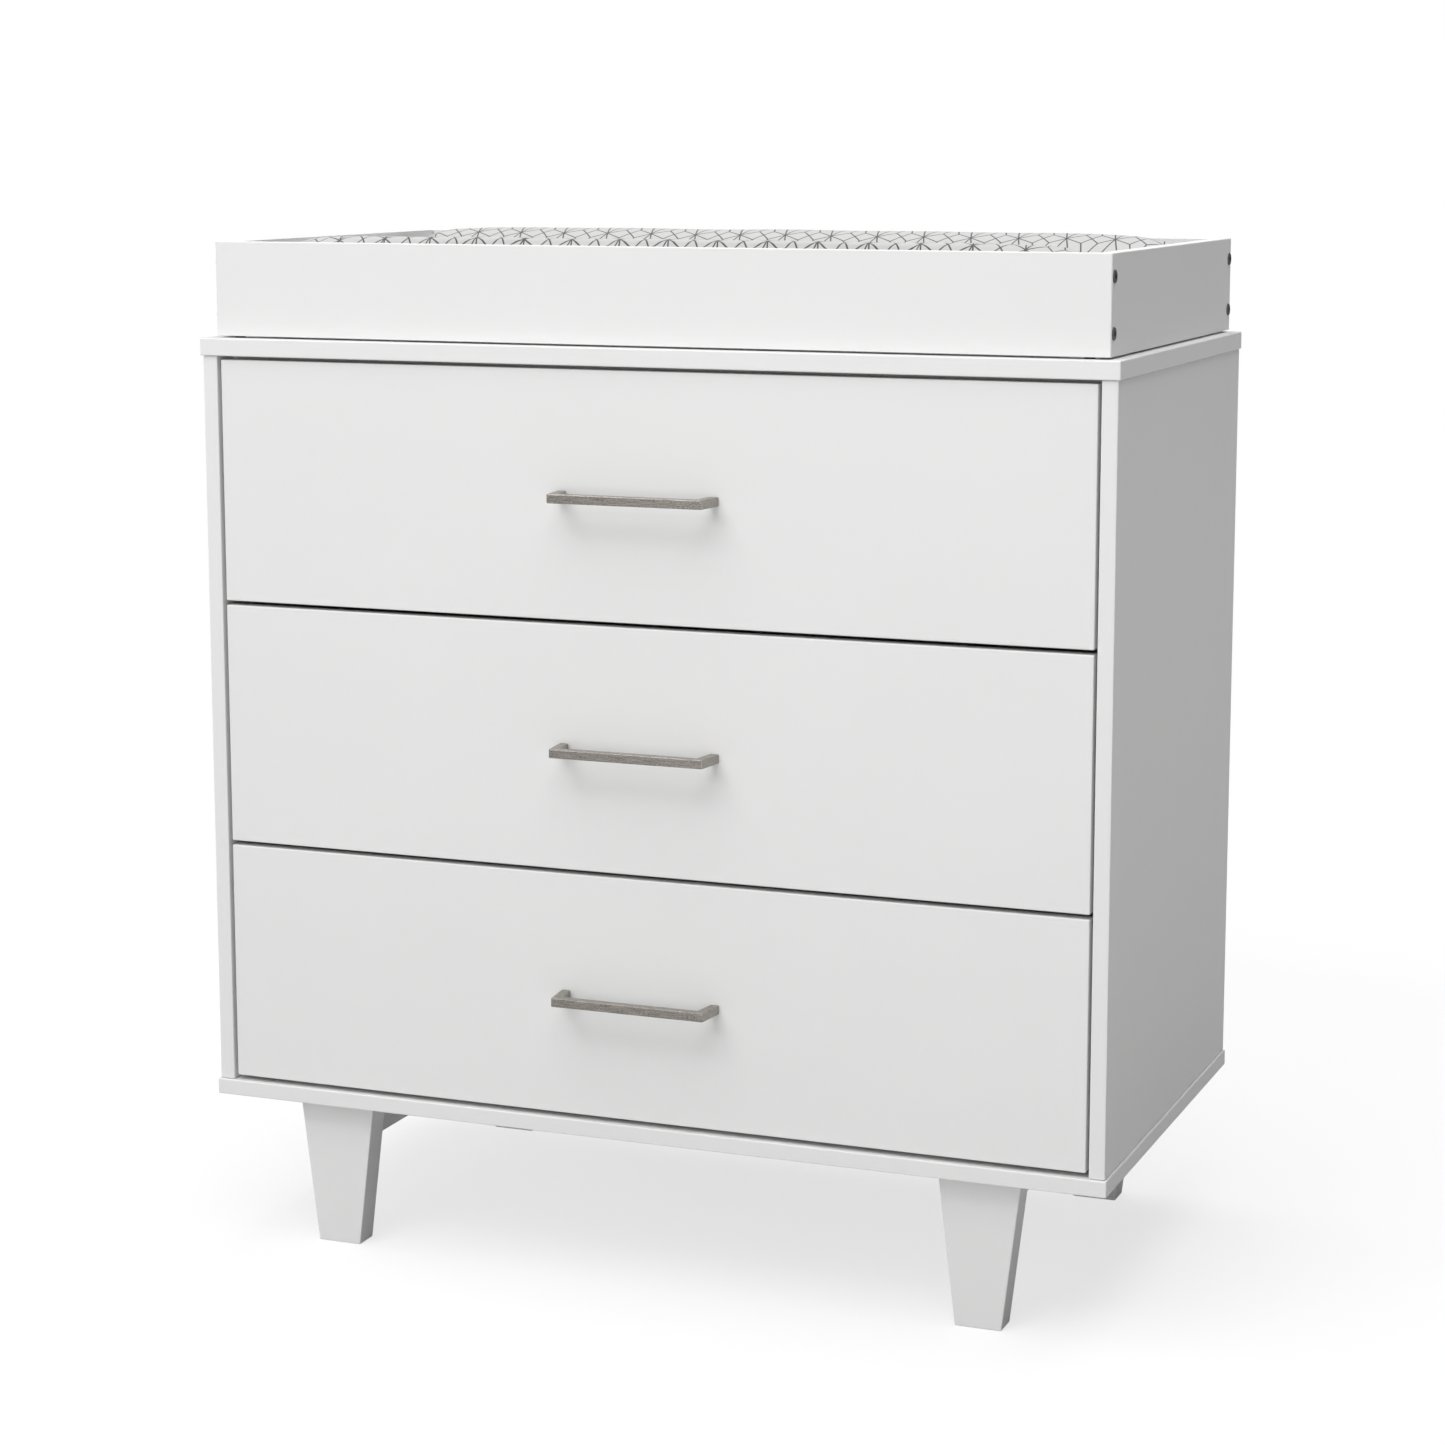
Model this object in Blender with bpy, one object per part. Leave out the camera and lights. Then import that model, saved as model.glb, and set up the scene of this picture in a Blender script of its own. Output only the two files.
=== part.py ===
"""A changing table: a dresser on tapered legs, with an open tray on its top and a pad in the tray.

Metres, +Z up. X runs across the front, Y from front to back. The origin is on the floor, under the
middle of the whole table, handles included.
"""

import math

import bmesh
import bpy
from mathutils import Matrix, Vector

# Fits
TOUCH = 0.0003  # gap between two pieces that touch
EASE = 0.0010  # rounding along the edges of a painted board
EASE_STEPS = 2
RAW_EASE = 0.0004  # rounding along the edges of a plain board or a strip

# Pad, of a stock size: the tray is made to hold it, and the cabinet to carry the tray
PAD_LENGTH = 0.8130
PAD_WIDTH = 0.4060
PAD_HEIGHT = 0.0950
PAD_VALLEY = 0.0480  # thickness along the middle
PAD_CREST = 0.0400  # from the long side of the pad to its highest line
PAD_FLAT = 0.0400  # half the width of the level strip along the middle
PAD_CORNER = 0.0300  # how far the rounded top edge drops
PAD_STEPS = 8

# Tray
PAD_END_ROOM = 0.0163  # from each end of the pad to the tray
PAD_SIDE_ROOM = 0.00435  # from each long side of the pad to the tray
TRAY_HEIGHT = 0.0890
TRAY_THICKNESS = 0.0150
GLIDE_THICKNESS = 0.0012
GLIDE_RADIUS = 0.0050
GLIDE_ROOM = 0.0060  # from a side board of the tray to the middle of a glide

# Bolts of the tray
BOLT_INSET = 0.0200  # from the top and the bottom of the tray to a bolt
BOLT_HEAD_RADIUS = 0.0057
BOLT_HEAD_HEIGHT = 0.0022
BOLT_HEAD_SINK = 0.0010
BOLT_HEAD_EASE = 0.0004
BOLT_RADIUS = 0.0028
BOLT_LENGTH = 0.0450  # under the head
SOCKET_RADIUS = 0.0023
SOCKET_DEPTH = 0.0014
SOCKET_CORNERS = 6
ROUND = 0  # no corners
ROUND_SIDES = 24

# Cabinet
TOP_END_MARGIN = 0.0122  # from each end of the tray to the end of the top board
TOP_FRONT_MARGIN = 0.0132
TOP_REAR_MARGIN = 0.0026
TOP_THICKNESS = 0.0166
BASE_THICKNESS = 0.0152
SIDE_THICKNESS = 0.0149
SIDE_HEIGHT = 0.7099  # clear height between the base board and the top board
SIDE_INSET = 0.0021  # from the end of the top board to the side panel
SIDE_SETBACK = 0.0024  # from the front of the top board to the side panel
BACK_THICKNESS = 0.0025
RAIL_THICKNESS = 0.0150
FRONT_RAIL_DEPTH = 0.0600
FRONT_RAIL_ROOM = 0.0134  # from the back of the drawer fronts to the front rail
REAR_RAIL_HEIGHT = 0.0700

# Legs
LEG_HEIGHT = 0.1428
LEG_TOP_WIDTH = 0.0790
LEG_FOOT_WIDTH = 0.0443
LEG_THICKNESS = 0.0270
LEG_INSET = 0.0830  # from the end of the cabinet to the outer top corner of a leg
LEG_SETBACK = 0.0170  # from the front and the back of the cabinet to a leg
LEG_RAIL_THICKNESS = 0.0150
LEG_RAIL_HEIGHT = 0.0518

# Drawers
DRAWER_COUNT = 3
FRONT_THICKNESS = 0.0150
FRONT_SETBACK = 0.0040  # from the front of the top board to a drawer front
FRONT_GAP_SIDE = 0.0033
FRONT_GAP_TOP = 0.0036
FRONT_GAP_BETWEEN = 0.0044
FRONT_GAP_BASE = 0.0046
BOX_THICKNESS = 0.0120
BOX_REAR_ROOM = 0.0228  # from the back of a drawer box to the rear rail
BOX_RISE = 0.0180  # from the bottom of a drawer front to the bottom of its box
BOX_HEADROOM = 0.0480  # from the top of its box to the top of a drawer front
PANEL_THICKNESS = 0.0030
PANEL_RISE = 0.0100  # from the bottom of the box to the groove of its bottom panel
GROOVE_DEPTH = 0.0050
FRONT_GROOVE_DEPTH = 0.0060

# Ball slides, one pair on each drawer
SLIDE_SPACE = 0.0127  # between a side panel and a drawer box
SLIDE_END_ROOM = 0.0090  # from the back of its slides to the back of a drawer box
SLIDE_HEIGHT = 0.0350
SLIDE_RISE = 0.0470  # from the bottom of a drawer front to the middle of its slides
SLIDE_STEEL = 0.0012
SLIDE_EASE = 0.0002
SLIDE_TIP_ROOM = 0.0029  # from the edge of a flange to the board on the other side
SLIDE_SETBACK = 0.0010  # from the back of a drawer front to its slides
BALL_SPACE = 0.0030  # between the flanges of the two members

# Handles
HANDLE_LENGTH = 0.1520
HANDLE_HEIGHT = 0.0085
HANDLE_DEPTH = 0.0085
HANDLE_PROJECTION = 0.0325
POST_WIDTH = 0.0085
POST_SPLAY = 0.0035  # how far a foot stands outside the end of the bar
HANDLE_EASE = 0.0007

# Places worked out from the sizes
TRAY_WIDTH = PAD_LENGTH + 2 * (PAD_END_ROOM + TRAY_THICKNESS)
TRAY_DEPTH = PAD_WIDTH + 2 * (PAD_SIDE_ROOM + TRAY_THICKNESS)
TOP_WIDTH = TRAY_WIDTH + 2 * TOP_END_MARGIN
TOP_DEPTH = TOP_FRONT_MARGIN + TRAY_DEPTH + TOP_REAR_MARGIN
CABINET_BOTTOM = LEG_HEIGHT
BASE_TOP = CABINET_BOTTOM + BASE_THICKNESS
SIDE_TOP = BASE_TOP + SIDE_HEIGHT
CABINET_TOP = SIDE_TOP + TOP_THICKNESS
HANDLE_OVERHANG = HANDLE_PROJECTION + TOUCH - FRONT_SETBACK
CABINET_FRONT = (HANDLE_OVERHANG - TOP_DEPTH) / 2
CABINET_REAR = CABINET_FRONT + TOP_DEPTH
SIDE_OUTER = TOP_WIDTH / 2 - SIDE_INSET
SIDE_INNER = SIDE_OUTER - SIDE_THICKNESS
SIDE_FRONT = CABINET_FRONT + SIDE_SETBACK
SIDE_REAR = CABINET_REAR - BACK_THICKNESS - 2 * TOUCH
FRONT_FACE = CABINET_FRONT + FRONT_SETBACK
FRONT_BACK = FRONT_FACE + FRONT_THICKNESS
FRONT_WIDTH = 2 * (SIDE_INNER - FRONT_GAP_SIDE)
FRONT_GAPS = FRONT_GAP_TOP + FRONT_GAP_BETWEEN * (DRAWER_COUNT - 1) + FRONT_GAP_BASE
FRONT_HEIGHT = (SIDE_HEIGHT - FRONT_GAPS) / DRAWER_COUNT
BOX_OUTER = SIDE_INNER - SLIDE_SPACE
BOX_INNER = BOX_OUTER - BOX_THICKNESS
BOX_FRONT = FRONT_BACK + TOUCH
BOX_REAR = SIDE_REAR - TOUCH - RAIL_THICKNESS - BOX_REAR_ROOM
BOX_LENGTH = BOX_REAR - BOX_FRONT
BOX_HEIGHT = FRONT_HEIGHT - BOX_RISE - BOX_HEADROOM
TRAY_BOTTOM = CABINET_TOP + GLIDE_THICKNESS + 2 * TOUCH
TRAY_FRONT = CABINET_FRONT + TOP_FRONT_MARGIN
TRAY_REAR = TRAY_FRONT + TRAY_DEPTH

SIDES = {"left": -1, "right": 1}


def clear_scene():
    for obj in list(bpy.data.objects):
        bpy.data.objects.remove(obj, do_unlink=True)


def look(name, colour, roughness, metallic=0.0):
    """One painted, plain or metal finish."""
    made = bpy.data.materials.new(name)
    made.use_nodes = True
    shader = made.node_tree.nodes["Principled BSDF"]
    shader.inputs["Base Color"].default_value = (*colour, 1.0)
    shader.inputs["Roughness"].default_value = roughness
    shader.inputs["Metallic"].default_value = metallic
    return made


def joint_parent(name, place):
    """An empty that stands on a moving body's joint axis."""
    empty = bpy.data.objects.new(name, None)
    empty.empty_display_size = 0.05
    empty.location = place
    bpy.context.scene.collection.objects.link(empty)
    return empty


def place(name, mesh, finish, centre, parent=None):
    """An object at centre in the world, under parent."""
    obj = bpy.data.objects.new(name, mesh)
    if finish and not mesh.materials:
        mesh.materials.append(finish)
    obj.location = Vector(centre) - (parent.location if parent else Vector())
    obj.parent = parent
    bpy.context.scene.collection.objects.link(obj)
    return obj


def mesh_of(name, shape):
    """The mesh of a closed bmesh, with its faces turned outwards."""
    bmesh.ops.recalc_face_normals(shape, faces=shape.faces)
    mesh = bpy.data.meshes.new(name)
    shape.to_mesh(mesh)
    shape.free()
    return mesh


def box_mesh(name, size):
    shape = bmesh.new()
    bmesh.ops.create_cube(shape, size=1.0)
    bmesh.ops.scale(shape, vec=size, verts=shape.verts)
    return mesh_of(name, shape)


def ease_edges(obj, width, steps):
    bevel = obj.modifiers.new("eased_edges", "BEVEL")
    bevel.width = width
    bevel.segments = steps
    bevel.limit_method = "ANGLE"


def board(name, low, high, finish, ease=EASE, steps=EASE_STEPS, parent=None):
    """A rectangular board between two corners."""
    low, high = Vector(low), Vector(high)
    obj = place(name, box_mesh(name, high - low), finish, (low + high) / 2, parent)
    ease_edges(obj, ease, steps)
    return obj


def prism(name, outline, start, run, finish, ease, steps=1, parent=None):
    """A closed outline, a list of points about start, carried along run."""
    shape = bmesh.new()
    face = shape.faces.new([shape.verts.new(point) for point in outline])
    swept = bmesh.ops.extrude_face_region(shape, geom=[face])["geom"]
    corners = [item for item in swept if isinstance(item, bmesh.types.BMVert)]
    bmesh.ops.translate(shape, vec=run, verts=corners)
    obj = place(name, mesh_of(name, shape), finish, start, parent)
    ease_edges(obj, ease, steps)
    return obj


def cut(target, name, mesh, centre, turn=None):
    """Takes the shape of a mesh out of an object."""
    cutter = place(name, mesh, None, centre)
    if turn:
        cutter.matrix_world = Matrix.Translation(centre) @ turn
    cutter.hide_render = True
    cutter.display_type = "WIRE"
    boolean = target.modifiers.new(name, "BOOLEAN")
    boolean.operation = "DIFFERENCE"
    boolean.object = cutter


def ring(shape, radius, height, corners):
    """The points of a loop about the Z axis: a circle, or a polygon with that many corners."""
    points = []
    for step in range(ROUND_SIDES):
        turn = math.tau * step / ROUND_SIDES
        reach = radius
        if corners:
            half = math.pi / corners
            reach = radius * math.cos(half) / math.cos(turn % (2 * half) - half)
        points.append(shape.verts.new((reach * math.cos(turn), reach * math.sin(turn), height)))
    return points


def turned_mesh(name, rings):
    """A closed mesh through a list of (radius, height, corners) rings, capped at both ends."""
    shape = bmesh.new()
    loops = [ring(shape, *one) for one in rings]
    for lower, upper in zip(loops, loops[1:]):
        for i in range(ROUND_SIDES):
            shape.faces.new((lower[i - 1], lower[i], upper[i], upper[i - 1]))
    shape.faces.new(loops[0])
    shape.faces.new(loops[-1])
    mesh = mesh_of(name, shape)
    mesh.shade_smooth()
    mesh.set_sharp_from_angle(angle=math.radians(35))
    return mesh


def along_x(side):
    """Turns the Z axis outwards along X, to the given side."""
    return Matrix.Rotation(math.radians(90) * side, 4, "Y")


def build_carcass(looks):
    half = TOP_WIDTH / 2
    board(
        "top_board",
        (-half, CABINET_FRONT, SIDE_TOP),
        (half, CABINET_REAR, CABINET_TOP),
        looks["white_paint"],
    )
    board(
        "base_board",
        (-half, CABINET_FRONT, CABINET_BOTTOM),
        (half, CABINET_REAR, BASE_TOP),
        looks["white_paint"],
    )
    for word, side in SIDES.items():
        inner, outer = sorted((side * SIDE_INNER, side * SIDE_OUTER))
        board(
            f"side_panel_{word}",
            (inner, SIDE_FRONT, BASE_TOP + TOUCH),
            (outer, SIDE_REAR, SIDE_TOP - TOUCH),
            looks["white_paint"],
        )
    board(
        "back_panel",
        (-SIDE_OUTER, SIDE_REAR + TOUCH, BASE_TOP + TOUCH),
        (SIDE_OUTER, CABINET_REAR - TOUCH, SIDE_TOP - TOUCH),
        looks["white_hardboard"],
        RAW_EASE,
        1,
    )
    reach = SIDE_INNER - TOUCH
    rail_top = SIDE_TOP - TOUCH
    rail_front = FRONT_BACK + FRONT_RAIL_ROOM
    board(
        "front_rail",
        (-reach, rail_front, rail_top - RAIL_THICKNESS),
        (reach, rail_front + FRONT_RAIL_DEPTH, rail_top),
        looks["drawer_white"],
        RAW_EASE,
        1,
    )
    rail_rear = SIDE_REAR - TOUCH
    board(
        "rear_rail",
        (-reach, rail_rear - RAIL_THICKNESS, rail_top - REAR_RAIL_HEIGHT),
        (reach, rail_rear, rail_top),
        looks["drawer_white"],
        RAW_EASE,
        1,
    )


def leg_outline():
    """The front of a leg about the middle of its foot: wide under the cabinet, narrow on the floor."""
    foot, top = LEG_FOOT_WIDTH / 2, LEG_TOP_WIDTH / 2
    high = LEG_HEIGHT - TOUCH
    return [(-foot, 0, 0), (foot, 0, 0), (top, 0, high), (-top, 0, high)]


def build_legs(looks):
    middle = TOP_WIDTH / 2 - LEG_INSET - LEG_TOP_WIDTH / 2
    front = CABINET_FRONT + LEG_SETBACK
    rear = CABINET_REAR - LEG_SETBACK - LEG_THICKNESS
    through = Vector((0, LEG_THICKNESS, 0))
    for word, side in SIDES.items():
        for end, start in (("front", front), ("rear", rear)):
            prism(
                f"leg_{end}_{word}",
                leg_outline(),
                (side * middle, start, 0),
                through,
                looks["white_paint"],
                EASE,
                EASE_STEPS,
            )
        half = LEG_RAIL_THICKNESS / 2
        high = CABINET_BOTTOM - TOUCH
        board(
            f"leg_rail_{word}",
            (side * middle - half, front + LEG_THICKNESS + TOUCH, high - LEG_RAIL_HEIGHT),
            (side * middle + half, rear - TOUCH, high),
            looks["white_paint"],
        )


def channel_outline(side, web, reach, height):
    """A channel whose web stands at x = web and whose two flanges end at x = reach."""
    inner = web + math.copysign(SLIDE_STEEL, reach - web)
    high = height / 2
    low = high - SLIDE_STEEL
    points = [
        (web, -high),
        (reach, -high),
        (reach, -low),
        (inner, -low),
        (inner, low),
        (reach, low),
        (reach, high),
        (web, high),
    ]
    return [(side * x, 0, z) for x, z in points]


def build_slides(number, height, looks, drawer):
    """The cabinet's channel and the drawer's channel nest with room between them for the balls."""
    start = FRONT_BACK + SLIDE_SETBACK
    run = Vector((0, BOX_REAR - SLIDE_END_ROOM - start, 0))
    flange = SLIDE_SPACE - TOUCH - SLIDE_TIP_ROOM
    inner_height = SLIDE_HEIGHT - 2 * (SLIDE_STEEL + BALL_SPACE)
    panel_web = SIDE_INNER - TOUCH
    box_web = BOX_OUTER + TOUCH
    for word, side in SIDES.items():
        prism(
            f"cabinet_slide_{number}_{word}",
            channel_outline(side, panel_web, panel_web - flange, SLIDE_HEIGHT),
            (0, start, height),
            run,
            looks["zinc_steel"],
            SLIDE_EASE,
        )
        prism(
            f"drawer_slide_{number}_{word}",
            channel_outline(side, box_web, box_web + flange, inner_height),
            (0, start, height),
            run,
            looks["zinc_steel"],
            SLIDE_EASE,
            parent=drawer,
        )


def handle_outline():
    """A bar and two posts that splay towards the drawer front, seen from above, about the mounting face."""
    end = HANDLE_LENGTH / 2
    foot = end + POST_SPLAY
    inside = HANDLE_DEPTH - HANDLE_PROJECTION
    right = [
        (end, -HANDLE_PROJECTION),
        (foot, 0),
        (foot - POST_WIDTH, 0),
        (end - POST_WIDTH, inside),
    ]
    left = [(-x, y) for x, y in reversed(right)]
    return [(x, y, 0) for x, y in right + left]


def build_handle(number, middle, looks, drawer):
    prism(
        f"handle_{number}",
        handle_outline(),
        (0, FRONT_FACE - TOUCH, middle - HANDLE_HEIGHT / 2),
        Vector((0, 0, HANDLE_HEIGHT)),
        looks["brushed_nickel"],
        HANDLE_EASE,
        2,
        drawer,
    )


def side_outline(side):
    """The end of a drawer side about its inner lower corner, with the groove for the bottom panel."""
    groove_low = PANEL_RISE
    groove_high = PANEL_RISE + PANEL_THICKNESS + 2 * TOUCH
    points = [
        (0, 0),
        (BOX_THICKNESS, 0),
        (BOX_THICKNESS, BOX_HEIGHT),
        (0, BOX_HEIGHT),
        (0, groove_high),
        (GROOVE_DEPTH, groove_high),
        (GROOVE_DEPTH, groove_low),
        (0, groove_low),
    ]
    return [(side * x, 0, z) for x, z in points]


def build_drawer_box(number, low, looks, drawer):
    """Two grooved sides, a back between them and a thin bottom that runs in the grooves under the back."""
    for word, side in SIDES.items():
        prism(
            f"drawer_side_{number}_{word}",
            side_outline(side),
            (side * BOX_INNER, BOX_FRONT, low),
            Vector((0, BOX_LENGTH, 0)),
            looks["drawer_white"],
            RAW_EASE,
            parent=drawer,
        )
    panel_low = low + PANEL_RISE + TOUCH
    panel_high = panel_low + PANEL_THICKNESS
    reach = BOX_INNER - TOUCH
    board(
        f"drawer_back_{number}",
        (-reach, BOX_REAR - BOX_THICKNESS, panel_high + TOUCH),
        (reach, BOX_REAR, low + BOX_HEIGHT),
        looks["drawer_white"],
        RAW_EASE,
        1,
        drawer,
    )
    panel_reach = BOX_INNER + GROOVE_DEPTH - TOUCH
    panel_front = FRONT_BACK - FRONT_GROOVE_DEPTH + TOUCH
    board(
        f"drawer_bottom_{number}",
        (-panel_reach, panel_front, panel_low),
        (panel_reach, BOX_REAR, panel_high),
        looks["white_hardboard"],
        RAW_EASE,
        1,
        drawer,
    )


def build_drawer_front(number, low, box_low, looks, drawer):
    half = FRONT_WIDTH / 2
    front = board(
        f"drawer_front_{number}",
        (-half, FRONT_FACE, low),
        (half, FRONT_BACK, low + FRONT_HEIGHT),
        looks["white_paint"],
        parent=drawer,
    )
    groove_height = PANEL_THICKNESS + 2 * TOUCH
    groove_reach = BOX_INNER + GROOVE_DEPTH
    groove = box_mesh(
        f"front_groove_{number}",
        (2 * groove_reach, 2 * FRONT_GROOVE_DEPTH, groove_height),
    )
    centre = (0, FRONT_BACK, box_low + PANEL_RISE + groove_height / 2)
    cut(front, f"front_groove_{number}", groove, centre)


def build_drawer(number, low, looks):
    middle = low + FRONT_HEIGHT / 2
    drawer = joint_parent(f"drawer_{number}", (0, FRONT_FACE, middle))
    box_low = low + BOX_RISE
    build_drawer_front(number, low, box_low, looks, drawer)
    build_drawer_box(number, box_low, looks, drawer)
    build_slides(number, low + SLIDE_RISE, looks, drawer)
    build_handle(number, middle, looks, drawer)


def bolt_mesh():
    """A socket-head bolt along Z, with the outer face of its head at z = 0."""
    under_head = -BOLT_HEAD_HEIGHT
    tip = under_head - BOLT_LENGTH
    return turned_mesh(
        "tray_bolt",
        [
            (BOLT_RADIUS, tip, ROUND),
            (BOLT_RADIUS, under_head, ROUND),
            (BOLT_HEAD_RADIUS, under_head, ROUND),
            (BOLT_HEAD_RADIUS, -BOLT_HEAD_EASE, ROUND),
            (BOLT_HEAD_RADIUS - BOLT_HEAD_EASE, 0, ROUND),
            (SOCKET_RADIUS, 0, SOCKET_CORNERS),
            (SOCKET_RADIUS, -SOCKET_DEPTH, SOCKET_CORNERS),
        ],
    )


def hole_mesh():
    """The bolt's hole and the counterbore of its head, along Z, with the board's face at z = 0."""
    floor = -BOLT_HEAD_SINK - TOUCH
    tip = -BOLT_HEAD_SINK - BOLT_LENGTH - BOLT_HEAD_HEIGHT
    return turned_mesh(
        "bolt_hole",
        [
            (BOLT_RADIUS + TOUCH, tip, ROUND),
            (BOLT_RADIUS + TOUCH, floor, ROUND),
            (BOLT_HEAD_RADIUS + TOUCH, floor, ROUND),
            (BOLT_HEAD_RADIUS + TOUCH, BOLT_HEAD_HEIGHT, ROUND),
        ],
    )


def build_tray_bolts(boards, looks, tray):
    """Two bolts at each corner go through a side board into the mitred end of the next board."""
    bolt, hole = bolt_mesh(), hole_mesh()
    steel = looks["dark_steel"]
    levels = {"lower": TRAY_BOTTOM + BOLT_INSET, "upper": TRAY_BOTTOM + TRAY_HEIGHT - BOLT_INSET}
    rows = {"front": TRAY_FRONT + TRAY_THICKNESS / 2, "rear": TRAY_REAR - TRAY_THICKNESS / 2}
    head_face = TRAY_WIDTH / 2 + BOLT_HEAD_HEIGHT - BOLT_HEAD_SINK
    for word, side in SIDES.items():
        for row, y in rows.items():
            for level, z in levels.items():
                name = f"tray_bolt_{row}_{word}_{level}"
                screw = place(name, bolt, steel, (side * head_face, y, z), tray)
                screw.rotation_euler = along_x(side).to_euler()
                face = Vector((side * TRAY_WIDTH / 2, y, z))
                for plank in (f"tray_side_{word}", f"tray_{row}"):
                    cut(boards[plank], f"{name}_hole_{plank}", hole, face, along_x(side))


def build_tray_boards(looks, tray):
    """Four boards with mitred ends, each one an outline seen from above carried up to its height."""
    half_width, half_depth = TRAY_WIDTH / 2, TRAY_DEPTH / 2
    centre = (0, (TRAY_FRONT + TRAY_REAR) / 2, TRAY_BOTTOM)
    outlines = {}
    for word, side in SIDES.items():
        inner = side * (half_width - TRAY_THICKNESS)
        reach = half_depth - TRAY_THICKNESS
        outlines[f"tray_side_{word}"] = [
            (side * half_width, -half_depth, 0),
            (side * half_width, half_depth, 0),
            (inner, reach, 0),
            (inner, -reach, 0),
        ]
    for row, facing in {"front": -1, "rear": 1}.items():
        outer_reach = half_width - TOUCH
        inner_reach = outer_reach - TRAY_THICKNESS
        inner = facing * (half_depth - TRAY_THICKNESS)
        outlines[f"tray_{row}"] = [
            (-outer_reach, facing * half_depth, 0),
            (outer_reach, facing * half_depth, 0),
            (inner_reach, inner, 0),
            (-inner_reach, inner, 0),
        ]
    up = Vector((0, 0, TRAY_HEIGHT))
    return {
        name: prism(name, outline, centre, up, looks["white_paint"], RAW_EASE, 1, tray)
        for name, outline in outlines.items()
    }


def build_tray(looks):
    """Four boards bolted together at the corners, on small glides."""
    tray = joint_parent("tray", (0, (TRAY_FRONT + TRAY_REAR) / 2, TRAY_BOTTOM))
    build_tray_bolts(build_tray_boards(looks, tray), looks, tray)
    disc = turned_mesh(
        "tray_glide",
        [(GLIDE_RADIUS, 0, ROUND), (GLIDE_RADIUS, GLIDE_THICKNESS, ROUND)],
    )
    reach = TRAY_WIDTH / 2 - TRAY_THICKNESS - GLIDE_ROOM
    rows = {"front": TRAY_FRONT + TRAY_THICKNESS / 2, "rear": TRAY_REAR - TRAY_THICKNESS / 2}
    for word, side in SIDES.items():
        for row, y in rows.items():
            centre = (side * reach, y, CABINET_TOP + TOUCH)
            place(f"tray_glide_{row}_{word}", disc, looks["dark_rubber"], centre, tray)


def pad_half_outline():
    """Half of the pad's end, from the middle line outwards: level, then a rise like half a cosine wave
    up to the crest, then a quarter ellipse down to the long side."""
    crest = PAD_WIDTH / 2 - PAD_CREST
    rise = PAD_HEIGHT - PAD_VALLEY
    points = []
    for step in range(PAD_STEPS + 1):
        part = step / PAD_STEPS
        across = PAD_FLAT + (crest - PAD_FLAT) * part
        points.append((across, PAD_VALLEY + rise * (1 - math.cos(math.pi * part)) / 2))
    for step in range(1, PAD_STEPS + 1):
        turn = math.pi / 2 * step / PAD_STEPS
        drop = PAD_CORNER * (1 - math.cos(turn))
        points.append((crest + PAD_CREST * math.sin(turn), PAD_HEIGHT - drop))
    return points + [(PAD_WIDTH / 2, 0)]


def build_pad(looks):
    """The contoured changing pad, lying on the top board inside the tray."""
    middle = (TRAY_FRONT + TRAY_REAR) / 2
    pad = joint_parent("pad", (0, middle, CABINET_TOP))
    half = pad_half_outline()
    outline = half + [(-y, z) for y, z in reversed(half)]
    start = (-PAD_LENGTH / 2, middle, CABINET_TOP + TOUCH)
    run = Vector((PAD_LENGTH, 0, 0))
    points = [(0, y, z) for y, z in outline]
    prism("changing_pad", points, start, run, looks["printed_cotton"], RAW_EASE, 1, pad)


def main():
    clear_scene()
    finishes = [
        look("white_paint", (0.86, 0.86, 0.85), 0.42),
        look("drawer_white", (0.84, 0.84, 0.83), 0.50),
        look("white_hardboard", (0.80, 0.80, 0.79), 0.60),
        look("brushed_nickel", (0.48, 0.45, 0.41), 0.34, 1.0),
        look("zinc_steel", (0.55, 0.56, 0.57), 0.38, 1.0),
        look("dark_steel", (0.16, 0.16, 0.17), 0.40, 1.0),
        look("dark_rubber", (0.06, 0.06, 0.06), 0.80),
        look("printed_cotton", (0.80, 0.80, 0.80), 0.90),
    ]
    looks = {finish.name: finish for finish in finishes}
    build_carcass(looks)
    build_legs(looks)
    for index in range(DRAWER_COUNT):
        below = DRAWER_COUNT - 1 - index
        low = BASE_TOP + FRONT_GAP_BASE + below * (FRONT_HEIGHT + FRONT_GAP_BETWEEN)
        build_drawer(index + 1, low, looks)
    build_tray(looks)
    build_pad(looks)


main()
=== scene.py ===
"""Looks of a changing table: finishes for its boards, drawers, handles and tray, a contoured pad in a
printed cotton cover, the small fixings, and a plain studio.

Metres, +Z up. X runs across the front, Y from front to back, and the floor is at z = 0. Run as a script,
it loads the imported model, makes every piece in order and leaves the scene ready to render.
"""

import math

import bmesh
import bpy
import numpy as np
from mathutils import Euler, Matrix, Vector


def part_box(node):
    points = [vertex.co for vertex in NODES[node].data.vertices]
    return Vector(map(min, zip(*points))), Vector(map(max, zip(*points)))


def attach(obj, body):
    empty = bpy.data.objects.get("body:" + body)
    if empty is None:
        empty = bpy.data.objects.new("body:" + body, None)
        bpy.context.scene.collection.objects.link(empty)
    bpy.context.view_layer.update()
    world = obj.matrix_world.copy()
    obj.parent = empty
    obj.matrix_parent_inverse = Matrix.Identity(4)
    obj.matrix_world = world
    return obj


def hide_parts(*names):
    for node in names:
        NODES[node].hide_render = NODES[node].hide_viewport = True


bl_info = {
    "name": "Changing Table Looks",
    "version": (1, 0, 0),
    "blender": (4, 5, 0),
    "location": "View3D > Sidebar > Changing Table",
    "description": "Finishes, padded pad, fixings and studio of a changing table",
    "category": "Object",
}

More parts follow.
